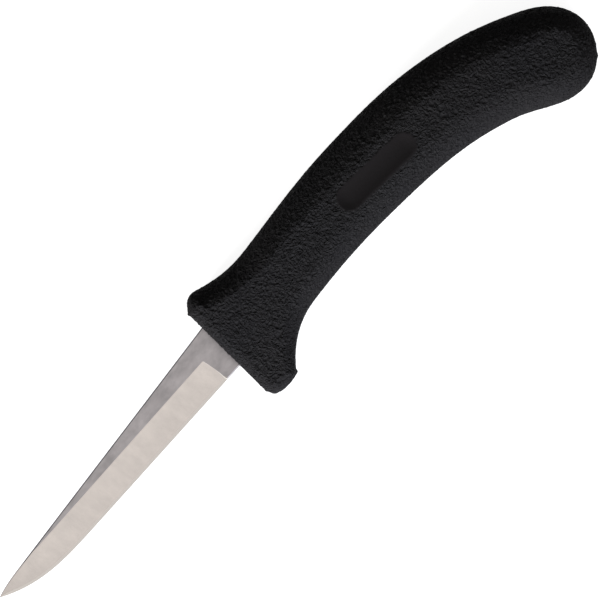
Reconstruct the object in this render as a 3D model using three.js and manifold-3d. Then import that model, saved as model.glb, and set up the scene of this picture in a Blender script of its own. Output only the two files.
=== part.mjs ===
// A poultry knife: a hollow-ground stamped blade whose flat tang is moulded into a textured grip.
// Millimetres. The knife lies on its side: X runs from the tip to the butt, Y from the cutting edge
// to the spine, and Z up out of the side. While it is drawn, the spine is the line Y = 0, the blade's
// middle plane is Z = 0, and X = 0 is where the spine enters the handle's front face.

import * as THREE from 'three';
import { mergeVertices, toCreasedNormals } from 'three/addons/utils/BufferGeometryUtils.js';
import Module from 'manifold-3d';

const wasm = await Module();
wasm.setup();

// Blade
const bladeLength = 89.4; // tip to the handle, along the spine
const bladeStock = 2; // thickness of the flat steel
const heelDepth = 14.25; // spine to edge at the handle
const bellyDepth = 9.2; // spine to edge where the straight edge starts to sweep up
const bellyFromTip = 28; // length of the upswept part
const tipDrop = 0.7; // the point lies this far below the spine
const tipDropRun = 8; // length of spine that curves down to the point
const tipSweep = 36; // degrees between the spine and the edge's end at the point
const spineEase = 0.35; // radius that the two corners of the spine are rounded to
const heelEase = 0.35; // height over which the heel's underside is rounded off
const heelKeel = 0.3; // half the flat left along that underside

// Hollow grind
const plungeFromHandle = 6.55; // unground steel left between the grind and the handle
const grindDrop = 5.6; // spine to grind line at the plunge
const grindRunout = 9; // the grind line meets the spine this far from the tip
const wheelRadius = 100; // grinding wheel, which leaves the bevel concave
const plungeRun = 0.4; // length over which the rounded corner of the wheel leaves the steel
const plungeBow = 0.3; // the plunge curves back toward the handle by this much
const edgeStock = 0.34; // steel left where the grind ends, before sharpening
const edgeBevel = 0.7; // width of the sharpened bevel
const edgeKeel = 0.02; // half the flat left along the cutting edge
const tipTrim = 0.1; // the point is blunted by this much
const tipTaperRun = 24; // length over which the steel thins toward the point
const tipShare = 0.3; // share of the thickness that is left at the point

// Tang
const tangSeat = 6; // full-depth steel held inside the front of the handle
const tangStep = 1.8; // shoulder between the spine and the tang
const tangRootDepth = 10.5;
const tangEndDepth = 8.5;
const tangLength = 74; // behind the shoulder
const tangSlope = 5; // degrees down from the spine, to follow the grip
const lockHoles = 3;
const lockHoleDiameter = 5;
const firstLockHole = 14; // behind the shoulder
const lastLockHole = 12; // before the tang's end
const tangClearance = 0.3; // stands for the moulded contact between steel and grip

// Handle outline: how far behind the front face, and above or below the spine, it passes
const frontLean = 7.4; // degrees that the front face leans forward on its way down
const frontRise = 5;
const crestAt = 5;
const crestRise = 7.85;
const flareAt = 7.8;
const flareRise = 6.9;
const neckAt = 23.8;
const neckRise = 3.5;
const neckDrop = 19.4;
const palmAt = 59.8;
const palmRise = 2.5;
const palmDrop = 22.4;
const handleLength = 126.3; // to the butt's farthest point
const buttFall = 28.6;
const bendFromButt = 32.5;
const bendFall = 4.1;
const bendDrop = 32.1;
const rumpFromButt = 9.5;
const rumpFall = 15.5;
const footFromButt = 13.5;
const footDrop = 42.3;
const finAt = 5.4;
const finDrop = 27.5;
const noseDrop = 23.8;

// Handle section: a flat land on each side, with rounded shoulders down to the parting line
const gripThickness = 19;
const frontRim = 2.8; // width of the rounding round the front face and the finger stop
const crestShoulder = 3.8;
const flareShoulder = 5.8;
const neckBackShoulder = 6.8;
const backShoulder = 9;
const rumpShoulder = 8.7;
const buttShoulder = 6.3;
const bellyShoulder = 7.6;
const neckBellyShoulder = 5.4;
const backSweep = 76; // degrees of roundness, less than a quarter turn, so the land keeps a soft edge
const buttSweep = 78;
const bellySweep = 84; // almost a quarter turn, so the land runs into the belly with hardly an edge

// Bare oval hollow in the land that faces up
const ovalLength = 26.4;
const ovalWidth = 6.8;
const ovalDepth = 0.5;
const ovalAt = 60.6;
const ovalBelowSpine = 11.85;
const ovalSlope = 9; // degrees down from the spine, along the grip

// Facets
const outlineSpacing = 2.2;
const shoulderFacets = 7;
const easeFacets = 3;
const grindFacets = 7;
const cornerFacets = 6;
const sweepFacets = 16;
const edgeFacets = 6;
const tangEndFacets = 5;
const curvePull = 0.37; // handle length of each outline curve, as a share of its chord

const halfGrip = gripThickness / 2;
const halfStock = bladeStock / 2;
const degrees = THREE.MathUtils.degToRad;

// A closed solid for cutting and joining, from a geometry's bare triangles.
function solid(geometry) {
  const bare = geometry.clone();
  bare.deleteAttribute('normal');
  bare.deleteAttribute('uv');
  const merged = mergeVertices(bare, 1e-4);
  const mesh = new wasm.Mesh({
    numProp: 3,
    vertProperties: merged.attributes.position.array,
    triVerts: new Uint32Array(merged.index.array),
  });
  return new wasm.Manifold(mesh);
}

// A closed skin over rings of points, each ring the same count, with both ends capped.
function loft(rings, capFaces) {
  const count = rings[0].length;
  const last = (rings.length - 1) * count;
  const faces = [];
  for (let ring = 0; ring < rings.length - 1; ring += 1) {
    for (let step = 0; step < count; step += 1) {
      const near = ring * count + step;
      const next = ring * count + ((step + 1) % count);
      faces.push(near, next, next + count);
      faces.push(near, next + count, near + count);
    }
  }
  for (const [a, b, c] of capFaces) {
    faces.push(a, c, b);
    faces.push(last + a, last + b, last + c);
  }
  const geometry = new THREE.BufferGeometry().setFromPoints(rings.flat());
  geometry.setIndex(faces);
  return geometry;
}

// A curve that leaves one point and reaches the next at given headings, in degrees from +X.
function swing(start, startHeading, end, endHeading) {
  const pull = start.distanceTo(end) * curvePull;
  const leave = new THREE.Vector2(pull, 0).rotateAround(new THREE.Vector2(), degrees(startHeading));
  const reach = new THREE.Vector2(pull, 0).rotateAround(new THREE.Vector2(), degrees(endHeading));
  return new THREE.CubicBezierCurve(start, start.clone().add(leave), end.clone().sub(reach), end);
}

// Blade outline
const tip = new THREE.Vector2(-bladeLength, -tipDrop);
const belly = new THREE.Vector2(bellyFromTip - bladeLength, -bellyDepth);
const edgeSlope = (heelDepth - bellyDepth) / (bladeLength - bellyFromTip);
const edgeHeading = 180 - THREE.MathUtils.radToDeg(Math.atan(edgeSlope));
const sweep = swing(belly, edgeHeading, tip, 180 - tipSweep);

function edgeLine(x) {
  return -heelDepth - edgeSlope * x;
}

function spineLine(x) {
  const fromTip = Math.min((x + bladeLength) / tipDropRun, 1);
  return -tipDrop * (1 - fromTip) ** 2;
}

// The grinding wheel's round face meets the flat along the grind line and leaves the edge's thickness
// at the belly. An inset lifts it off the steel: at the plunge, the wheel's corner has lifted it clear.
const plungeTop = new THREE.Vector2(-plungeFromHandle, -grindDrop);
const grindWay = new THREE.Vector2(grindRunout - bladeLength, 0).sub(plungeTop).normalize();
const towardEdge = new THREE.Vector2(-grindWay.y, grindWay.x);
const grindWidth = belly.clone().sub(plungeTop).dot(towardEdge);
const grindSink = halfStock - edgeStock / 2;
const grindChord = Math.hypot(grindWidth, grindSink);
const wheelStandoff = Math.sqrt(wheelRadius ** 2 - (grindChord / 2) ** 2);
const wheelAcross = grindWidth / 2 + (wheelStandoff * grindSink) / grindChord;
const wheelUp = halfStock - grindSink / 2 + (wheelStandoff * grindWidth) / grindChord;

// The steel thins toward the point, flat and bevel alike.
function taperAt(x) {
  return THREE.MathUtils.lerp(tipShare, 1, THREE.MathUtils.smoothstep(x + bladeLength, 0, tipTaperRun));
}

function groundHalf(x, y, inset) {
  const across = new THREE.Vector2(x, y).sub(plungeTop).dot(towardEdge);
  const half = wheelUp + inset - Math.sqrt(wheelRadius ** 2 - (across - wheelAcross) ** 2);
  return Math.min(half, halfStock) * taperAt(x);
}

function grindLine(x, inset) {
  const across = wheelAcross - Math.sqrt(wheelRadius ** 2 - (wheelUp + inset - halfStock) ** 2);
  return plungeTop.y + (across - (x - plungeTop.x) * towardEdge.x) / towardEdge.y;
}

// One section of the steel, from the spine down one side to the edge and up the other side. A bow
// carries the ground part of the section back toward the handle.
function bladeRing({ x, top, bottom, bevel = 0, keel = heelKeel, inset = halfStock, bow = 0 }) {
  const depth = top - bottom;
  const spineHalf = groundHalf(x, top, inset);
  const ease = Math.min(spineEase, spineHalf * 0.5, depth * 0.1);
  const bevelTop = bottom + Math.min(bevel, depth * 0.45);
  const highest = top - ease - depth * 0.03;
  const lowest = bevelTop + depth * 0.05;
  const start = inset < halfStock ? grindLine(x, inset) : top - depth * 0.4;
  const grindTop = THREE.MathUtils.clamp(start, lowest, highest);
  const side = [];
  for (let step = 0; step < easeFacets; step += 1) {
    const angle = (Math.PI / 2) * (step / easeFacets);
    const fromSide = ease * (1 - Math.sin(angle));
    side.push(new THREE.Vector3(x, top - ease * (1 - Math.cos(angle)), spineHalf - fromSide));
  }
  side.push(new THREE.Vector3(x, top - ease, groundHalf(x, top - ease, inset)));
  for (let step = 0; step <= grindFacets; step += 1) {
    const share = step / grindFacets;
    const y = THREE.MathUtils.lerp(grindTop, bevelTop, share);
    const bowed = x + bow * 4 * share * (1 - share);
    side.push(new THREE.Vector3(bowed, y, groundHalf(bowed, y, inset)));
  }
  side.push(new THREE.Vector3(x, bottom, keel));
  const otherSide = side.map((point) => new THREE.Vector3(point.x, point.y, -point.z));
  return [...side, ...otherSide.reverse()];
}

// The tang's upper and lower lines, a margin larger all round, up to its rounded end
function tangStations(margin) {
  const root = tangSeat + tangStep;
  const endRadius = tangEndDepth / 2;
  const stations = [{ x: root + margin, half: tangRootDepth / 2 + margin }];
  for (let step = 0; step <= tangEndFacets; step += 1) {
    const angle = degrees((80 * step) / tangEndFacets);
    const x = root + tangLength - endRadius + (endRadius + margin) * Math.sin(angle);
    stations.push({ x, half: (endRadius + margin) * Math.cos(angle) });
  }
  return stations.map(({ x, half }) => ({ x, top: tangCentre(x) + half, bottom: tangCentre(x) - half }));
}

function tangCentre(x) {
  const root = tangSeat + tangStep;
  return -tangStep - tangRootDepth / 2 - (x - root) * Math.tan(degrees(tangSlope));
}

function lockHoleCentres() {
  const first = tangSeat + tangStep + firstLockHole;
  const last = tangSeat + tangStep + tangLength - lastLockHole;
  const centres = [];
  for (let index = 0; index < lockHoles; index += 1) {
    const x = THREE.MathUtils.lerp(first, last, index / (lockHoles - 1));
    centres.push(new THREE.Vector2(x, tangCentre(x)));
  }
  return centres;
}

// Blade and tang as one blank: rings from the tip through the grind, the plunge and the tang
function bladeSolid() {
  const stations = [];
  for (let step = 0; step < sweepFacets; step += 1) {
    const share = 1 - tipTrim / bellyFromTip - step / sweepFacets;
    const point = sweep.getPoint(share);
    const bevel = edgeBevel / Math.abs(sweep.getTangent(share).x);
    const top = spineLine(point.x);
    stations.push({ x: point.x, top, bottom: point.y, bevel, keel: edgeKeel, inset: 0 });
  }
  for (let step = 0; step < edgeFacets; step += 1) {
    const x = THREE.MathUtils.lerp(belly.x, -plungeFromHandle - plungeRun, step / edgeFacets);
    stations.push({ x, top: 0, bottom: edgeLine(x), bevel: edgeBevel, keel: edgeKeel, inset: 0 });
  }
  for (let step = 0; step <= cornerFacets; step += 1) {
    const angle = (Math.PI / 2) * (1 - step / cornerFacets);
    const x = -plungeFromHandle - plungeRun * (1 - Math.cos(angle));
    const inset = grindSink * (1 - Math.sin(angle));
    const bevel = THREE.MathUtils.lerp(heelEase, edgeBevel, Math.sin(angle));
    const keel = THREE.MathUtils.lerp(heelKeel, edgeKeel, Math.sin(angle));
    stations.push({ x, top: 0, bottom: edgeLine(x), bevel, keel, inset, bow: plungeBow });
  }
  for (const x of [-plungeFromHandle * 0.85, -plungeFromHandle * 0.45, tangSeat]) {
    stations.push({ x, top: 0, bottom: edgeLine(x), bevel: heelEase });
  }
  stations.push(...tangStations(0));
  const rings = stations.map(bladeRing);
  const ends = rings[0].map((point) => new THREE.Vector2(point.y, point.z));
  let blade = solid(loft(rings, THREE.ShapeUtils.triangulateShape(ends, [])));
  for (const centre of lockHoleCentres()) {
    const drill = new THREE.CylinderGeometry(lockHoleDiameter / 2, lockHoleDiameter / 2, bladeStock * 2, 24);
    drill.rotateX(Math.PI / 2).translate(centre.x, centre.y, 0);
    blade = blade.subtract(solid(drill));
  }
  return blade;
}

// Handle outline: knots on the parting line, each with the width and the sweep of the shoulder above
// it, and the share of the half thickness that stands as a straight wall before the rounding starts
function knot(x, y, shoulder, sweep, wall = 0) {
  const point = new THREE.Vector2(x, y);
  return { point, shoulder, sweep: degrees(sweep), wall };
}

const lean = Math.tan(degrees(frontLean));
const frontTop = knot(frontRise * lean, frontRise, frontRim, backSweep, 1);
const crest = knot(crestAt, crestRise, crestShoulder, backSweep, 0.6);
const flare = knot(flareAt, flareRise, flareShoulder, backSweep, 0.3);
const neckBack = knot(neckAt, neckRise, neckBackShoulder, backSweep);
const palmBack = knot(palmAt, palmRise, backShoulder, backSweep);
const bendBack = knot(handleLength - bendFromButt, -bendFall, backShoulder, backSweep);
const rump = knot(handleLength - rumpFromButt, -rumpFall, rumpShoulder, backSweep);
const butt = knot(handleLength, -buttFall, buttShoulder, buttSweep);
const foot = knot(handleLength - footFromButt, -footDrop, buttShoulder, bellySweep);
const bendBelly = knot(handleLength - bendFromButt, -bendDrop, bellyShoulder, bellySweep);
const palmBelly = knot(palmAt, -palmDrop, bellyShoulder, bellySweep);
const neckBelly = knot(neckAt, -neckDrop, neckBellyShoulder, bellySweep);
const fin = knot(finAt, -finDrop, frontRim, backSweep, 1);
const nose = knot(-noseDrop * lean, -noseDrop, frontRim, backSweep, 1);

// Points along the outline from one knot up to the next, with the shoulder, sweep and wall blended.
function stretch(start, startHeading, end, endHeading) {
  const curve = swing(start.point, startHeading, end.point, endHeading);
  const steps = Math.max(4, Math.round(start.point.distanceTo(end.point) / outlineSpacing));
  return curve.getSpacedPoints(steps).slice(0, steps).map((point, index) => {
    const share = THREE.MathUtils.smoothstep(index / steps, 0, 1);
    return {
      point,
      shoulder: THREE.MathUtils.lerp(start.shoulder, end.shoulder, share),
      sweep: THREE.MathUtils.lerp(start.sweep, end.sweep, share),
      wall: THREE.MathUtils.lerp(start.wall, end.wall, share),
    };
  });
}

const outline = [
  ...stretch(nose, -97, fin, 10),
  ...stretch(fin, 43, neckBelly, 0),
  ...stretch(neckBelly, 0, palmBelly, -9),
  ...stretch(palmBelly, -9, bendBelly, -26),
  ...stretch(bendBelly, -26, foot, -4),
  ...stretch(foot, -4, butt, 95),
  ...stretch(butt, 95, rump, 147),
  ...stretch(rump, 147, bendBack, 161),
  ...stretch(bendBack, 161, palmBack, 174),
  ...stretch(palmBack, 174, neckBack, 180),
  ...stretch(neckBack, 180, flare, 156),
  ...stretch(flare, 156, crest, 180),
  ...stretch(crest, 180, frontTop, 232),
  frontTop,
];

// Each outline point moves inward, square to the outline, as it climbs from the parting line to the land.
function inwardAt(index) {
  const here = outline[index].point;
  const before = outline.at(index - 1).point;
  const after = outline[(index + 1) % outline.length].point;
  const arriving = here.clone().sub(before).normalize();
  const leaving = after.clone().sub(here).normalize();
  const way = arriving.add(leaving).normalize();
  return new THREE.Vector2(-way.y, way.x);
}

function shoulderRing(level, side) {
  return outline.map((place, index) => {
    const angle = (place.sweep * level) / shoulderFacets;
    const inShare = (1 - Math.cos(angle)) / (1 - Math.cos(place.sweep));
    const upShare = Math.sin(angle) / Math.sin(place.sweep);
    const spot = place.point.clone().addScaledVector(inwardAt(index), place.shoulder * inShare);
    const wall = level > 0 ? place.wall * (halfGrip - frontRim) : 0;
    return new THREE.Vector3(spot.x, spot.y, side * THREE.MathUtils.lerp(wall, halfGrip, upShare));
  });
}

function gripBody() {
  const rings = [];
  for (let level = shoulderFacets; level > 0; level -= 1) {
    rings.push(shoulderRing(level, -1));
  }
  for (let level = 0; level <= shoulderFacets; level += 1) {
    rings.push(shoulderRing(level, 1));
  }
  const land = rings[0].map((point) => new THREE.Vector2(point.x, point.y));
  return loft(rings, THREE.ShapeUtils.triangulateShape(land, []));
}

// The space that the steel fills inside the grip, open at the front, with plugs through the lock holes.
function tangSpace() {
  const mouth = -noseDrop;
  const heelEnd = tangSeat + tangClearance;
  const tang = tangStations(tangClearance);
  const shape = new THREE.Shape([
    new THREE.Vector2(mouth, edgeLine(mouth) - tangClearance),
    new THREE.Vector2(heelEnd, edgeLine(heelEnd) - tangClearance),
    ...tang.map(({ x, bottom }) => new THREE.Vector2(x, bottom)),
    ...tang.reverse().map(({ x, top }) => new THREE.Vector2(x, top)),
    new THREE.Vector2(heelEnd, tangClearance),
    new THREE.Vector2(mouth, tangClearance),
  ]);
  for (const centre of lockHoleCentres()) {
    const plug = new THREE.Path();
    plug.absarc(centre.x, centre.y, lockHoleDiameter / 2 - tangClearance, 0, Math.PI * 2);
    shape.holes.push(plug);
  }
  const depth = bladeStock + tangClearance * 2;
  const geometry = new THREE.ExtrudeGeometry(shape, { depth, bevelEnabled: false });
  return geometry.translate(0, 0, -depth / 2);
}

// The oval hollow, as a ball-nosed cutter run along the grip leaves it.
function ovalScoop() {
  const radius = (ovalWidth ** 2 / 4 + ovalDepth ** 2) / (ovalDepth * 2);
  const geometry = new THREE.CapsuleGeometry(radius, ovalLength - ovalWidth, 40, 80);
  geometry.rotateZ(Math.PI / 2 - degrees(ovalSlope));
  return geometry.translate(ovalAt, -ovalBelowSpine, halfGrip - ovalDepth + radius);
}

function handleSolid() {
  return solid(gripBody()).subtract(solid(tangSpace())).subtract(solid(ovalScoop()));
}

// One named mesh for each piece.
function piece(name, made, material) {
  const data = made.getMesh();
  const geometry = new THREE.BufferGeometry();
  geometry.setAttribute('position', new THREE.BufferAttribute(data.vertProperties, 3));
  geometry.setIndex(new THREE.BufferAttribute(data.triVerts, 1));
  const mesh = new THREE.Mesh(toCreasedNormals(geometry, degrees(25)), material);
  mesh.name = name;
  return mesh;
}

const steel = new THREE.MeshStandardMaterial({ color: 0xb9b4b0, roughness: 0.35, metalness: 1 });
const blackGrip = new THREE.MeshStandardMaterial({ color: 0x161617, roughness: 0.6, metalness: 0 });

const knife = new THREE.Group();
knife.name = 'poultry_knife';
knife.add(piece('blade', bladeSolid(), steel));
knife.add(piece('handle', handleSolid(), blackGrip));

// The part's origin is the middle of its footprint, on the surface that the lower land rests on.
const box = new THREE.Box3().setFromObject(knife);
const middle = box.getCenter(new THREE.Vector3());
for (const mesh of knife.children) {
  mesh.geometry.translate(-middle.x, -middle.y, -box.min.z);
}

export default knife;
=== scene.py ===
import math

import bpy
import numpy as np
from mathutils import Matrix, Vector


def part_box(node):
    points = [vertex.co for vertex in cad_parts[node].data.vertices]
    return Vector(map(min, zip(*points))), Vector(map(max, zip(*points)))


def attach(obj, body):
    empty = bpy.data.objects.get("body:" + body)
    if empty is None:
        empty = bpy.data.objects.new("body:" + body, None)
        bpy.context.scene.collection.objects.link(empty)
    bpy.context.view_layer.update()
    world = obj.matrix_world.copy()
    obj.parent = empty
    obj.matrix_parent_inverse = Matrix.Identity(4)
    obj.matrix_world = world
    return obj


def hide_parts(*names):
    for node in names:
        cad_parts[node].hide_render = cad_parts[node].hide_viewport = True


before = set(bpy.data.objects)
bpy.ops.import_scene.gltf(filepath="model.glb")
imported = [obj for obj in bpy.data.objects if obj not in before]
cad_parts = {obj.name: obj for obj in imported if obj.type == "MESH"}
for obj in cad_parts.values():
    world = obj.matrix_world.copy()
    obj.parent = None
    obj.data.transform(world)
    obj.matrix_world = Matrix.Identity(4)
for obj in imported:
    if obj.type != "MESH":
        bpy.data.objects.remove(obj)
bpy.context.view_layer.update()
bladeLow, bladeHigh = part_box("blade")
midPlane = (bladeLow.z + bladeHigh.z) / 2  # the steel's middle and the grip's parting line
print("frame loaded:", ", ".join(sorted(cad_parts)))


# Small helpers for the object list and edit mode
def pick(piece):
    bpy.ops.object.select_all(action="DESELECT")
    piece.select_set(True)
    bpy.context.view_layer.objects.active = piece


def copyNode(nodeName, pieceName):
    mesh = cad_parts[nodeName].data.copy()
    mesh.materials.clear()
    piece = bpy.data.objects.new(pieceName, mesh)
    bpy.context.scene.collection.objects.link(piece)
    pick(piece)
    bpy.ops.object.mode_set(mode="EDIT")
    bpy.ops.mesh.select_all(action="SELECT")
    bpy.ops.mesh.remove_doubles(threshold=1e-6)
    bpy.ops.mesh.customdata_custom_splitnormals_clear()
    bpy.ops.object.mode_set(mode="OBJECT")
    return piece


def applyModifier(piece, kind, **settings):
    modifier = piece.modifiers.new(kind.lower(), kind)
    for key, value in settings.items():
        setattr(modifier, key, value)
    pick(piece)
    bpy.ops.object.modifier_apply(modifier=modifier.name)


def points(piece):
    flat = np.zeros(len(piece.data.vertices) * 3)
    piece.data.vertices.foreach_get("co", flat)
    return flat.reshape(-1, 3)


def weigh(piece, groupName, weights, least=0.001):
    group = piece.vertex_groups.new(name=groupName)
    for index in np.flatnonzero(weights > least):
        group.add([int(index)], float(weights[index]), "REPLACE")


def ramp(values, start, end):
    share = np.clip((values - start) / (end - start), 0, 1)
    return share * share * (3 - 2 * share)


# Small helpers for the nodes of materials and the sky
def newMaterial(name):
    material = bpy.data.materials.new(name)
    material.use_nodes = True
    return material, material.node_tree.nodes["Principled BSDF"]


def addNode(material, kind, inputs=None, **settings):
    node = material.node_tree.nodes.new(kind)
    for key, value in settings.items():
        setattr(node, key, value)
    for key, value in (inputs or {}).items():
        node.inputs[key].default_value = value
    return node


def wire(material, *sockets):
    for start, end in zip(sockets[::2], sockets[1::2]):
        material.node_tree.links.new(start, end)


def noiseOn(material, stretch, kind="FBM", **inputs):
    place = addNode(material, "ShaderNodeTexCoord")
    mapping = addNode(material, "ShaderNodeMapping", {"Scale": stretch})
    noise = addNode(material, "ShaderNodeTexNoise", noise_type=kind)
    for key, value in inputs.items():
        noise.inputs[key].default_value = value
    wire(material, place.outputs["Object"], mapping.inputs["Vector"])
    wire(material, mapping.outputs["Vector"], noise.inputs["Vector"])
    return noise.outputs["Fac"]


def between(material, share, low, high):
    spread = addNode(material, "ShaderNodeMapRange", {"To Min": low, "To Max": high})
    wire(material, share, spread.inputs["Value"])
    return spread.outputs["Result"]


def softStep(material, value, start, end):
    step = addNode(material, "ShaderNodeMapRange", {"From Min": start, "From Max": end})
    step.interpolation_type = "SMOOTHSTEP"
    wire(material, value, step.inputs["Value"])
    return step.outputs["Result"]


def tint(material, share, dark, light, over=None):
    mix = addNode(material, "ShaderNodeMix", data_type="RGBA")
    low, high = [socket for socket in mix.inputs if socket.type == "RGBA"]
    low.default_value = (*dark, 1)
    high.default_value = (*light, 1)
    wire(material, share, mix.inputs["Factor"])
    if over:
        wire(material, over, high)
    return [socket for socket in mix.outputs if socket.type == "RGBA"][0]


def bumped(material, height, distance, onTop=None):
    bump = addNode(material, "ShaderNodeBump", {"Distance": distance, "Strength": 1})
    wire(material, height, bump.inputs["Height"])
    if onTop:
        wire(material, onTop.outputs["Normal"], bump.inputs["Normal"])
    return bump


# Steel blade, whose zones are told apart by which way the faces point
# Each zone's base colour is partly its finish and partly painted reflection: the zones differ more than
# real steel would, standing in for what each face mirrors.
bladeLook = {
    "flatSlope": 0.007,
    "edgeTilt": (math.radians(10), math.radians(25)),
    "spineSlope": 0.15,
    "plungeSlope": -0.2,
    "sharpAngle": math.radians(50),  # past this, faces meet in a sharp edge
    "flat": {
        "colour": ((0.285, 0.275, 0.287), (0.67, 0.635, 0.661)),
        "rough": (0.3, 0.38),
        "lines": (300, 6000, 6000),  # rolled along the blade
        "mottle": (260, 420, 420),
        "lineDepth": 0.000002,
    },
    "ground": {
        "colour": ((0.51, 0.477, 0.464), (0.69, 0.641, 0.616)),
        "rough": (0.2, 0.27),
        "lines": (9000, 260, 260),  # ground across the blade
        "mottle": (330, 170, 170),
        "lineDepth": 0.0000024,
    },
    "edge": {
        "colour": ((0.57, 0.545, 0.525), (0.62, 0.59, 0.57)),
        "rough": (0.28, 0.36),
        "lines": (7000, 900, 900),
        "mottle": (500, 300, 300),
        "lineDepth": 0.000002,
    },
    "plunge_painted_highlight": {  # ground steel, painted lighter than the bevel: a painted highlight standing in for the bright line this corner catches
        "colour": ((0.74, 0.72, 0.7), (0.86, 0.83, 0.81)),
        "rough": (0.2, 0.27),
        "lines": (7000, 900, 900),
        "mottle": (500, 300, 300),
        "lineDepth": 0.000002,
    },
    # painted shade: steel darker than the flats, standing in for the dark line this rounded edge mirrors
    "spine_painted_shade": {
        "colour": ((0.2, 0.193, 0.202), (0.42, 0.398, 0.415)),
        "rough": (0.3, 0.38),
        "lines": (300, 6000, 6000),
        "mottle": (260, 420, 420),
        "lineDepth": 0.000002,
    },
}
steelZones = ("flat", "ground", "edge", "plunge_painted_highlight", "spine_painted_shade")  # in the order of the material slots


def steelZone(face):
    tilt = math.acos(min(1, abs(face.normal.z)))
    low, high = bladeLook["edgeTilt"]
    if tilt < low and abs(face.normal.y) < bladeLook["flatSlope"]:
        return "flat"
    if tilt < low:
        return "ground"
    if face.normal.x < bladeLook["plungeSlope"]:
        return "plunge_painted_highlight"
    if tilt < high and face.normal.y < 0:
        return "edge"
    return "spine_painted_shade" if face.normal.y > bladeLook["spineSlope"] else "round"


def finishSteel(blade):
    for zone in steelZones:
        blade.data.materials.append(makeSteel(zone))
    sides = {}
    for face in blade.data.polygons:
        zone = steelZone(face)
        steel = "flat" if zone == "round" else zone  # the heel's round corners keep the rolled steel
        face.material_index = steelZones.index(steel)
        face.use_smooth = True
        for key in face.edge_keys:
            sides.setdefault(key, []).append((zone, face.normal))
    for edge in blade.data.edges:
        (zone, normal), (otherZone, otherNormal) = sides[edge.key]
        bent = normal.angle(otherNormal) > bladeLook["sharpAngle"]
        edge.use_edge_sharp = bent or zone != otherZone


def makeSteel(zone):
    look = bladeLook[zone]
    material, shader = newMaterial(zone + "Steel")
    shader.inputs["Metallic"].default_value = 1
    lines = noiseOn(material, look["lines"], Scale=1, Detail=3, Roughness=0.6)
    mottle = noiseOn(material, look["mottle"], Scale=1, Detail=3, Roughness=0.6)
    bump = bumped(material, lines, look["lineDepth"])
    wire(
        material,
        tint(material, mottle, *look["colour"]), shader.inputs["Base Color"],
        between(material, lines, *look["rough"]), shader.inputs["Roughness"],
        bump.outputs["Normal"], shader.inputs["Normal"],
    )
    return material


# Moulded grip
gripLook = {
    "slotMargin": 0.0004,
    "voxel": 0.00038,
    "settleRounds": 6,
    "smoothAngle": math.radians(60),
    "pebbleSize": 0.00095,
    "pebbleDepth": 0.00021,
    "pebbleContrast": 4.5,
    "wrinkleSize": 0.0007,
    "wrinkleDepth": 0.00015,
    "wrinkleTwist": 1.4,
    "grainTurn": math.radians(-53),  # the wrinkles run aslant, a little longer than wide
    "grainStretch": (1.5, 0.95, 1),
    "grainRoom": 0.00017,  # the grain stands up to the moulding's true surface from this far below it
    "ovalCentre": (0.0421, 0.005375),
    "ovalSlope": math.radians(-9),
    "ovalLength": 0.0264,
    "ovalWidth": 0.0068,
    "ovalFade": (-0.0001, 0.0005),  # from its rim, where the grain starts and is full
    "ovalBump": 0.05,  # what is left of the fine bump inside it
    "shownSide": 0.006,  # the oval lies higher than this over the parting line
    "partingHalf": 0.0003,
    "partingFade": 3,  # half widths at which the seam has turned to full grain
    "seamGrain": 0.2,  # share of the grain that is left on the seam
    "nubs": ((0.1027, -0.0229, 0.0007), (-0.01805, 0.0222, 0.0005), (-0.0124, -0.0098, 0.0005)),
    "nubHeight": 0.0005,
    "colour": ((0.0158, 0.0158, 0.0168), (0.0194, 0.0187, 0.0188)),
    "smoothPaintedShade": (0.0127, 0.0116, 0.0118),  # the oval, and partly the seam, where the plastic is smooth: painted shade, darker than the grained plastic, standing in for the light a smooth face doesn't scatter
    "rough": (0.5, 0.62),
    "shine": 0.01,
    "patch": 60,  # patches, ridges and specks a metre
    "crease": 1100,
    "creaseDepth": 0.00029,
    "speckle": 2600,
    "speckleDepth": 0.00005,
}


def closeTangSpace(grip):
    slotHalf = (bladeHigh.z - bladeLow.z) / 2 + gripLook["slotMargin"]
    pick(grip)
    bpy.ops.object.mode_set(mode="EDIT")
    bpy.ops.mesh.select_mode(type="FACE")
    bpy.ops.mesh.select_all(action="DESELECT")
    bpy.ops.object.mode_set(mode="OBJECT")
    verts = grip.data.vertices
    for face in grip.data.polygons:
        face.select = all(abs(verts[index].co.z - midPlane) < slotHalf for index in face.vertices)
    bpy.ops.object.mode_set(mode="EDIT")
    bpy.ops.mesh.delete(type="FACE")
    bpy.ops.mesh.select_mode(type="EDGE")
    bpy.ops.mesh.select_non_manifold(extend=False)
    bpy.ops.mesh.fill()
    bpy.ops.mesh.select_all(action="SELECT")
    bpy.ops.mesh.normals_make_consistent(inside=False)
    bpy.ops.object.mode_set(mode="OBJECT")


# How far each point lies outside the smooth oval, in metres, from below zero inside it
def ovalDistance(places):
    look = gripLook
    along = np.array([math.cos(look["ovalSlope"]), math.sin(look["ovalSlope"])])
    across = np.array([-along[1], along[0]])
    offset = places[:, :2] - np.array(look["ovalCentre"])
    straight = (look["ovalLength"] - look["ovalWidth"]) / 2
    pastEnd = np.maximum(np.abs(offset @ along) - straight, 0)
    distance = np.hypot(pastEnd, offset @ across) - look["ovalWidth"] / 2
    farOff = 1.0  # for points of the other side
    return np.where(places[:, 2] > midPlane + look["shownSide"], distance, farOff)


# The mould's halves leave a smooth seam, a little proud of the grain beside it
def seamShare(places):
    parting = np.abs(places[:, 2] - midPlane)
    half, least = gripLook["partingHalf"], gripLook["seamGrain"]
    return least + (1 - least) * ramp(parting, half, half * gripLook["partingFade"])


def grainShare(places):
    return seamShare(places) * ramp(ovalDistance(places), *gripLook["ovalFade"])


def nubShare(places):
    share = np.zeros(len(places))
    for x, y, radius in gripLook["nubs"]:
        gap = np.linalg.norm(places - np.array([x, y, midPlane]), axis=1)
        share = np.maximum(share, 1 - ramp(gap, 0, radius * 2))  # half as high at its radius
    return share


def makeTexture(name, kind, **settings):
    texture = bpy.data.textures.new(name, kind)
    for key, value in settings.items():
        setattr(texture, key, value)
    return texture


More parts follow.
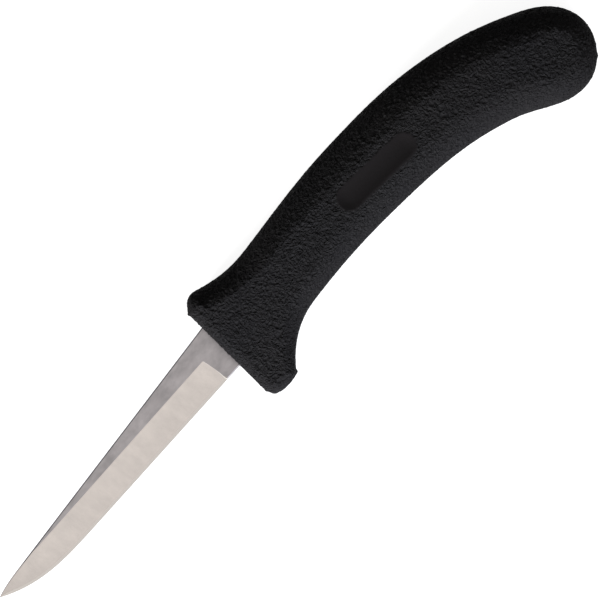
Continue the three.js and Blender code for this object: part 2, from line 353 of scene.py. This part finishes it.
def makeGrip(blade):
    look = gripLook
    grip = copyNode("handle", "moulded_grip")
    closeTangSpace(grip)
    applyModifier(grip, "REMESH", mode="VOXEL", voxel_size=look["voxel"], use_smooth_shade=True)
    applyModifier(grip, "SMOOTH", factor=0.5, iterations=look["settleRounds"])
    print("grip skin:", len(grip.data.polygons), "faces")
    places = points(grip)
    weigh(grip, "room", seamShare(places))
    weigh(grip, "grain", grainShare(places))
    weigh(grip, "nubs", nubShare(places))
    applyModifier(grip, "DISPLACE", mid_level=0, strength=-look["grainRoom"], vertex_group="room")
    pebbles = makeTexture(
        "pebbles", "VORONOI",
        noise_scale=look["pebbleSize"], noise_intensity=look["pebbleContrast"], weight_1=-1, weight_2=1,
    )
    wrinkles = makeTexture(
        "wrinkles", "DISTORTED_NOISE", noise_scale=look["wrinkleSize"], distortion=look["wrinkleTwist"],
    )
    lay = bpy.data.objects.new("grainLay", None)  # carries the lay of the grain while it is raised
    bpy.context.scene.collection.objects.link(lay)
    lay.rotation_euler.z = look["grainTurn"]
    lay.scale = look["grainStretch"]
    bpy.context.view_layer.update()
    for texture, depth in ((pebbles, look["pebbleDepth"]), (wrinkles, look["wrinkleDepth"])):
        applyModifier(
            grip, "DISPLACE", texture=texture, texture_coords="OBJECT", texture_coords_object=lay,
            direction="NORMAL", mid_level=0.5, strength=depth, vertex_group="grain",
        )
    bpy.data.objects.remove(lay)
    applyModifier(grip, "DISPLACE", mid_level=0, strength=look["nubHeight"], vertex_group="nubs")
    places = np.clip(points(grip), *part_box("handle"))  # the grain stays inside the CAD box
    grip.data.vertices.foreach_set("co", places.ravel())
    applyModifier(grip, "BOOLEAN", operation="DIFFERENCE", object=blade, solver="EXACT")
    share = grainShare(points(grip))
    attribute = grip.data.attributes.new("textured", "FLOAT", "POINT")
    attribute.data.foreach_set("value", share.astype(np.float32))
    pick(grip)
    bpy.ops.object.shade_smooth_by_angle(angle=look["smoothAngle"])
    return grip


def makeGripPlastic():
    look = gripLook
    material, shader = newMaterial("gripPlastic")
    shader.inputs["Specular IOR Level"].default_value = look["shine"]
    patches = noiseOn(material, (look["patch"],) * 3, Scale=1, Detail=2, Roughness=0.5)
    speckle = noiseOn(material, (look["speckle"],) * 3, Scale=1, Detail=2, Roughness=0.6)
    creases = noiseOn(
        material, (look["crease"],) * 3, "RIDGED_MULTIFRACTAL",
        Scale=1, Detail=1, Roughness=0.5, Offset=1, Gain=1.5, Distortion=0.4,
    )
    grain = addNode(material, "ShaderNodeAttribute", attribute_name="textured")
    coarse = bumped(material, creases, look["creaseDepth"])
    fine = bumped(material, speckle, look["speckleDepth"], onTop=coarse)
    for bump in (coarse, fine):
        strength = between(material, grain.outputs["Fac"], look["ovalBump"], 1)
        wire(material, strength, bump.inputs["Strength"])
    grained = tint(material, patches, *look["colour"])
    # painted shade: where the grain is missing, the plastic takes a darker colour than the grained
    # plastic
    smoothShade = look["smoothPaintedShade"]
    wire(
        material,
        tint(material, grain.outputs["Fac"], smoothShade, smoothShade, over=grained), shader.inputs["Base Color"],
        between(material, speckle, *look["rough"]), shader.inputs["Roughness"],
        fine.outputs["Normal"], shader.inputs["Normal"],
    )
    return material


blade = copyNode("blade", "steel_blade")
grip = makeGrip(blade)
print("grip done:", len(grip.data.polygons), "faces")
finishSteel(blade)
print("steel done:", len(blade.data.polygons), "faces")
grip.data.materials.clear()  # the cut may bring slots along
grip.data.materials.append(makeGripPlastic())
for piece, node in ((blade, "blade"), (grip, "handle")):
    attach(piece, "root")
    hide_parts(node)

# Floor, light and camera
studio = {
    "floorSize": 8,
    "floorColour": (0.35, 0.35, 0.35, 1),
    "floorRough": 0.9,
    "floorGlow": 0.92,  # with what the lamps add, white
    "skyLight": (  # two directions, each with the cosines at which the overhead light starts and is full
        ((0, -1, 0), -0.2, 0.1),
        ((-0.6, -0.25, 0.76), 0.5, 0.72),
    ),
    "skyWalls": ((0, -1, 0), -0.6, -0.3),
    "wallGlow": (0.22, 0.45),  # what the steel mirrors all round, dimmer behind the spine
    "skyDark": (0.015, 0.015, 0.016),
    "skyBright": (1.1, 1.07, 1.03),
    "lampSize": 0.1,
    "lamps": (
        ((-0.513, 0.06, 0.188), 3.2, (1.0, 0.985, 1.0)),
        ((-0.05, -0.28, 0.135), 0.66, (0.95, 0.97, 1.07)),
        ((-0.252, -0.212, 0.146), 1.06, (0.93, 0.97, 1.1)),
    ),
}
photoView = {
    "lens": 225,
    "sensor": 36,
    "across": 0.15888,  # metres of the knife's middle plane that the picture spans
    "aim": (0.003115, 0.00099),
    "turn": math.radians(-52.69),
}


def makeFloor():
    bpy.ops.mesh.primitive_plane_add(size=studio["floorSize"])
    floor = bpy.context.active_object
    floor.name = "floor"
    material, shader = newMaterial("paleFloor")
    shader.inputs["Base Color"].default_value = studio["floorColour"]
    shader.inputs["Roughness"].default_value = studio["floorRough"]
    shader.inputs["Specular IOR Level"].default_value = 0
    shader.inputs["Emission Color"].default_value = (1, 1, 1, 1)
    path = addNode(material, "ShaderNodeLightPath")
    seen = addNode(material, "ShaderNodeMath", operation="ADD")
    through = addNode(material, "ShaderNodeMath", operation="ADD", use_clamp=True)
    glow = addNode(material, "ShaderNodeMath", {1: studio["floorGlow"]}, operation="MULTIPLY")
    wire(
        material,
        path.outputs["Is Camera Ray"], seen.inputs[0],
        path.outputs["Is Glossy Ray"], seen.inputs[1],
        seen.outputs[0], through.inputs[0],
        path.outputs["Is Transmission Ray"], through.inputs[1],
        through.outputs[0], glow.inputs[0],
        glow.outputs[0], shader.inputs["Emission Strength"],
    )
    floor.data.materials.append(material)


def makeSky():
    world = bpy.data.worlds.new("studioSky")
    world.use_nodes = True
    bpy.context.scene.world = world
    place = addNode(world, "ShaderNodeTexCoord")
    path = addNode(world, "ShaderNodeLightPath")

    def facing(axis, start, full):
        toward = addNode(world, "ShaderNodeVectorMath", {1: axis}, operation="DOT_PRODUCT")
        wire(world, place.outputs["Generated"], toward.inputs[0])
        return softStep(world, toward.outputs["Value"], start, full)

    overhead = addNode(world, "ShaderNodeMath", operation="MULTIPLY")
    walls = addNode(world, "ShaderNodeMath", operation="MULTIPLY")
    brightest = addNode(world, "ShaderNodeMath", operation="MAXIMUM")
    for share, side in zip(overhead.inputs, studio["skyLight"]):
        wire(world, facing(*side), share)
    wire(
        world,
        path.outputs["Is Glossy Ray"], walls.inputs[0],
        between(world, facing(*studio["skyWalls"]), *studio["wallGlow"]), walls.inputs[1],
        overhead.outputs[0], brightest.inputs[0],
        walls.outputs[0], brightest.inputs[1],
    )
    glow = tint(world, brightest.outputs[0], studio["skyDark"], studio["skyBright"])
    wire(world, glow, world.node_tree.nodes["Background"].inputs["Color"])


def makeLamps():
    for place, watts, colour in studio["lamps"]:
        turn = Vector(place).to_track_quat("Z", "Y").to_euler()
        bpy.ops.object.light_add(type="AREA", location=place, rotation=turn)
        lamp = bpy.context.active_object
        lamp.visible_camera = False
        lamp.visible_glossy = False  # the steel mirrors the sky and the floor, not the lamps
        lamp.data.shape = "DISK"
        lamp.data.size = studio["lampSize"]
        lamp.data.energy = watts
        lamp.data.color = colour


def makeCamera():
    view = photoView
    distance = view["across"] * view["lens"] / view["sensor"]
    spot = (*view["aim"], midPlane + distance)
    bpy.ops.object.camera_add(location=spot, rotation=(0, 0, view["turn"]))
    camera = bpy.context.active_object
    camera.data.lens = view["lens"]
    camera.data.sensor_width = view["sensor"]
    bpy.context.scene.camera = camera


makeFloor()
makeSky()
makeLamps()
makeCamera()
bpy.context.scene.view_settings.view_transform = "Standard"
print("studio ready")
